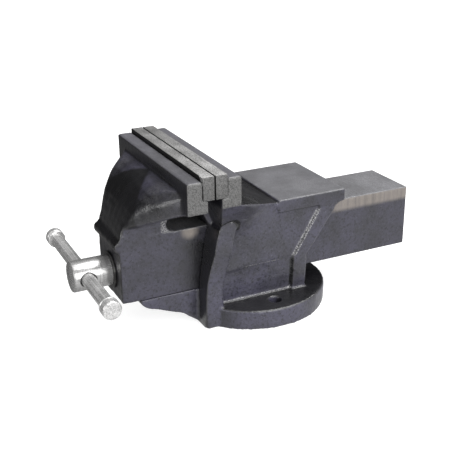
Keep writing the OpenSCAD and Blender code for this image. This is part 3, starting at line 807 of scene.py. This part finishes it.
def grid_mesh(name, spots):
    """A mesh from a rows by columns grid of points, with each row closed into a ring."""
    rows, columns = spots.shape[:2]
    row = np.arange(rows - 1)[:, None] * columns
    column = np.arange(columns)[None, :]
    beside = (column + 1) % columns
    corners = (row + column, row + beside, row + columns + beside, row + columns + column)
    quads = np.stack(corners, axis=-1)
    mesh = bpy.data.meshes.new(name)
    mesh.from_pydata(spots.reshape(-1, 3).tolist(), [], quads.reshape(-1, 4).tolist())
    shape = bmesh.new()
    shape.from_mesh(mesh)
    bmesh.ops.remove_doubles(shape, verts=shape.verts, dist=1e-7)
    bmesh.ops.recalc_face_normals(shape, faces=shape.faces)
    shape.to_mesh(mesh)
    shape.free()
    mesh.polygons.foreach_set("use_smooth", np.ones(len(mesh.polygons), dtype=bool))
    mesh.set_sharp_from_angle(angle=math.radians(32.0))
    piece = bpy.data.objects.new(name, mesh)
    bpy.context.collection.objects.link(piece)
    return piece


def turned(name, profile, axis, centre, sides=96):
    """A turned piece: a profile of (distance along the axis, radius) carried round a line through centre.

    axis is 0 for a line along X, with centre as (y, z), and 1 for one along Y, with centre as (x, z)."""
    line = np.array(profile, dtype=float)
    angle = np.arange(sides) * 2.0 * np.pi / sides
    along = np.repeat(line[:, :1], sides, axis=1)
    one, two = line[:, 1:] * np.cos(angle), line[:, 1:] * np.sin(angle)
    if axis == 0:
        spots = np.stack([along, centre[0] + one, centre[1] + two], axis=-1)
    else:
        spots = np.stack([centre[0] + one, along, centre[1] + two], axis=-1)
    return grid_mesh(name, spots)


def rounded_corner(along, radius, size, turn, steps=5):
    """Points of a quarter round at a corner: from the end face to the side (turn 1) or back (turn -1)."""
    angle = np.linspace(0.0, np.pi / 2.0, steps)
    step, drop = size * (1.0 - np.cos(angle)), size * (1.0 - np.sin(angle))
    if turn < 0:
        step, drop = drop, step
    return [(along + turn * s, radius - d) for s, d in zip(step, drop)]


spindle_low, spindle_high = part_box("spindle")
AXIS = (0.0, (spindle_low[2] + spindle_high[2]) / 2.0)
HEAD_R = (spindle_high[0] - spindle_low[0]) / 2.0
SHANK_R = 0.010
HEAD_FRONT = spindle_low[1]
HEAD_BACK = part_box("thrust_washer")[0][1]
THREAD_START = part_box("retaining_collar")[1][1] + 0.006
SCREW_END = spindle_high[1]
PITCH = 0.004


def spindle_head():
    """The head and plain shank: a rounded nose, a straight side and a step down to the shank.

    The cross hole is the handle bar's own size with clearance, opened out in a short cone at each side."""
    profile = [(HEAD_FRONT, 0.0), (HEAD_FRONT, HEAD_R - 0.0016)]
    profile += rounded_corner(HEAD_FRONT, HEAD_R, 0.0014, 1)
    profile += rounded_corner(HEAD_BACK, HEAD_R, 0.0005, -1, 3)
    profile += [(HEAD_BACK, SHANK_R), (THREAD_START, SHANK_R), (THREAD_START, 0.0)]
    piece = turned("spindle_head", profile, 1, AXIS)
    bar_low, bar_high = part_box("handle_bar")
    hole_r = (bar_high[2] - bar_low[2]) / 2.0 + 0.0007
    middle = ((bar_low[1] + bar_high[1]) / 2.0, AXIS[1])
    reach = HEAD_R + 0.002
    flat = HEAD_R - 0.0012
    mouth_r = hole_r + 0.00216
    drill = turned("cross_drill", [(-reach, 0.0), (-reach, mouth_r), (-flat, hole_r),
                                   (flat, hole_r), (reach, mouth_r), (reach, 0.0)], 0, middle, 64)
    cut = piece.modifiers.new("cross_hole", "BOOLEAN")
    cut.operation = "DIFFERENCE"
    cut.solver = "EXACT"
    cut.object = drill
    apply_modifiers(piece)
    bpy.data.objects.remove(drill)
    piece.data.set_sharp_from_angle(angle=math.radians(32.0))
    return piece


def spindle_screw():
    """The screw: over (length, turn) the radius is a flat-topped wave of length / pitch + turn, whose depth
    runs in over the first pitch, and the far end is closed by a short cone."""
    sides, per_pitch = 48, 10
    depth = 0.0021
    length = np.arange(THREAD_START, SCREW_END - 0.0015, PITCH / per_pitch)
    turn = np.arange(sides) / sides
    wave = np.mod((length[:, None] - THREAD_START) / PITCH + turn[None, :], 1.0)
    crest = np.clip(3.2 * (0.5 - np.abs(2.0 * wave - 1.0)) + 0.5, 0.0, 1.0)
    run_in = smooth_step(THREAD_START, THREAD_START + PITCH, length)[:, None]
    radius = SHANK_R - depth * (1.0 - crest) * run_in
    angle = 2.0 * np.pi * turn[None, :]
    body = np.stack([radius * np.cos(angle), np.repeat(length[:, None], sides, axis=1),
                     AXIS[1] + radius * np.sin(angle)], axis=-1)

    def circle(y, r):
        """One row of the grid: a circle of radius r at y."""
        return np.stack([r * np.cos(angle), np.full_like(angle, y), AXIS[1] + r * np.sin(angle)], axis=-1)

    return grid_mesh("spindle_screw", np.concatenate(
        [circle(length[0], 0.0), body, circle(SCREW_END, SHANK_R - 0.0028), circle(SCREW_END, 0.0)]))


spindle_steel = turned_steel("turned_spindle_steel", (30.0, 2600.0, 30.0), 0.42, 0.65)
for piece in (spindle_head(), spindle_screw()):
    piece.data.materials.append(spindle_steel)
    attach(piece, "screw")
    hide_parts("spindle")

# ---- washers and collar on the spindle: a dark thrust washer under the head, and
# behind the front wall a spring, its washer and a collar held by a cross pin.


def ring(name, node, edge):
    """A flat oxide ring with rounded rims, between the node's ends along Y, that just clears the shank."""
    low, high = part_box(node)
    outer = (high[0] - low[0]) / 2.0
    hole = SHANK_R + 0.00002
    profile = [(low[1], hole)] + rounded_corner(low[1], outer, edge, 1, 4)
    profile += rounded_corner(high[1], outer, edge, -1, 4) + [(high[1], hole), (low[1], hole)]
    piece = turned(name, profile, 1, AXIS)
    piece.data.materials.append(oxide)
    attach(piece, "screw")
    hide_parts(node)
    return piece


ring("head_washer", "thrust_washer", 0.0004)
ring("spring_seat_washer", "spring_washer", 0.0003)
trimmed_copy("retaining_collar", "pinned_collar", "screw", oxide)

bright_steel = turned_steel("plain_bright_steel", (30.0, 2600.0, 30.0), 0.50, 0.80)
trimmed_copy("collar_pin", "collar_cross_pin", "screw", bright_steel)
trimmed_copy("nut_dowels", "nut_locating_dowels", "base", bright_steel)
trimmed_copy("nut_flat_washer", "nut_plain_washer", "base", bright_steel, 0.0002)

# ---- springs: a round-wire helix round the shank, whose end turns lie flat, and a
# split washer between the nut's bolt head and its plain washer.


def oiled_spring_steel(name):
    """Spring steel: blue-grey, with a cloudy film of oil."""
    material, w, shader = new_material(name)
    place = w.place()
    film = w.noise(place, 260.0, 3.0)
    dark, pale = (0.10, 0.11, 0.13, 1.0), (0.26, 0.27, 0.29, 1.0)
    w.set(shader.inputs["Base Color"], w.mix(film, dark, pale))
    w.set(shader.inputs["Roughness"], w.ramp(film, 0.3, 0.7, 0.22, 0.38))
    shader.inputs["Metallic"].default_value = 0.9
    w.set(shader.inputs["Normal"], w.bump(w.noise(place, 1500.0, 2.0), 0.1, 0.0001))
    return material


def helix_spring():
    """A wire carried round a helix of four turns that lie flat at the ends: a circle across the path."""
    turns, sides, steps_a_turn = 4, 14, 40
    low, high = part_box("return_spring")
    wire = 0.0012
    radius = (high[0] - low[0]) / 2.0 - wire
    start, end = low[1] + wire, high[1] - wire
    t = np.linspace(0.0, 1.0, turns * steps_a_turn + 1)
    rise = smooth_step(0.16, 0.84, t)
    y = start + (end - start) * rise
    angle = 2.0 * np.pi * turns * t
    outward = np.stack([np.cos(angle), np.zeros_like(t), np.sin(angle)], axis=-1)
    centre = radius * outward + np.stack([np.zeros_like(t), y, np.full_like(t, AXIS[1])], axis=-1)
    path = np.gradient(centre, axis=0)
    path /= np.linalg.norm(path, axis=1)[:, None]
    across = np.cross(path, outward)
    around = np.arange(sides) * 2.0 * np.pi / sides
    thick = np.where((t > 0.0) & (t < 1.0), wire, 0.0)
    spots = (centre[:, None, :] + thick[:, None, None]
             * (np.cos(around)[None, :, None] * outward[:, None, :]
                + np.sin(around)[None, :, None] * across[:, None, :]))
    return grid_mesh("return_coil", spots)


coil_steel = oiled_spring_steel("oiled_spring_steel")
coil = helix_spring()
coil.data.materials.append(coil_steel)
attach(coil, "screw")
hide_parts("return_spring")
trimmed_copy("nut_spring_washer", "nut_split_washer", "base", coil_steel, 0.0002)

# ---- handle: a plain turned bar that slides through the head, with a rounded
# cap pressed on each end.

bar_low, bar_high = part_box("handle_bar")
HANDLE_LINE = ((bar_low[1] + bar_high[1]) / 2.0, (bar_low[2] + bar_high[2]) / 2.0)
BAR_R = (bar_high[2] - bar_low[2]) / 2.0
left_low, left_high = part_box("handle_cap_left")
right_low, right_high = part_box("handle_cap_right")
CAP_R = (left_high[2] - left_low[2]) / 2.0


def bar_profile():
    """The bar between its caps, chamfered at both ends, with the spigots that the caps are pressed on."""
    spigot, chamfer = 0.004, 0.0003
    start, end = left_high[0], right_low[0]
    return [(bar_low[0], 0.0), (bar_low[0], spigot), (start, spigot), (start, BAR_R - chamfer),
            (start + chamfer, BAR_R), (end - chamfer, BAR_R), (end, BAR_R - chamfer),
            (end, spigot), (bar_high[0], spigot), (bar_high[0], 0.0)]


def cap_profile(low, high):
    """A short drum with rounded rims, its outer end at low, with a shallow groove near the inner one."""
    outer_edge, inner_edge = 0.0014, 0.0009
    groove_r = CAP_R - 0.00035
    groove = low + 0.74 * (high - low)
    return ([(low, 0.0)] + rounded_corner(low, CAP_R, outer_edge, 1)
            + [(groove - 0.0007, CAP_R), (groove - 0.0003, groove_r),
               (groove + 0.0003, groove_r), (groove + 0.0007, CAP_R)]
            + rounded_corner(high, CAP_R, inner_edge, -1) + [(high, 0.0)])


handle_steel = turned_steel("turned_handle_steel", (9.0, 900.0, 900.0), 0.57, 0.55)
bar = turned("tommy_bar", bar_profile(), 0, HANDLE_LINE)
left_cap = turned("left_end_cap", cap_profile(left_low[0], left_high[0]), 0, HANDLE_LINE)
mirrored = [(right_low[0] + right_high[0] - x, r) for x, r in cap_profile(right_low[0], right_high[0])]
right_cap = turned("right_end_cap", mirrored[::-1], 0, HANDLE_LINE)
for piece, node in ((bar, "handle_bar"), (left_cap, "handle_cap_left"), (right_cap, "handle_cap_right")):
    piece.data.materials.append(handle_steel)
    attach(piece, "handle")
    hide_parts(node)
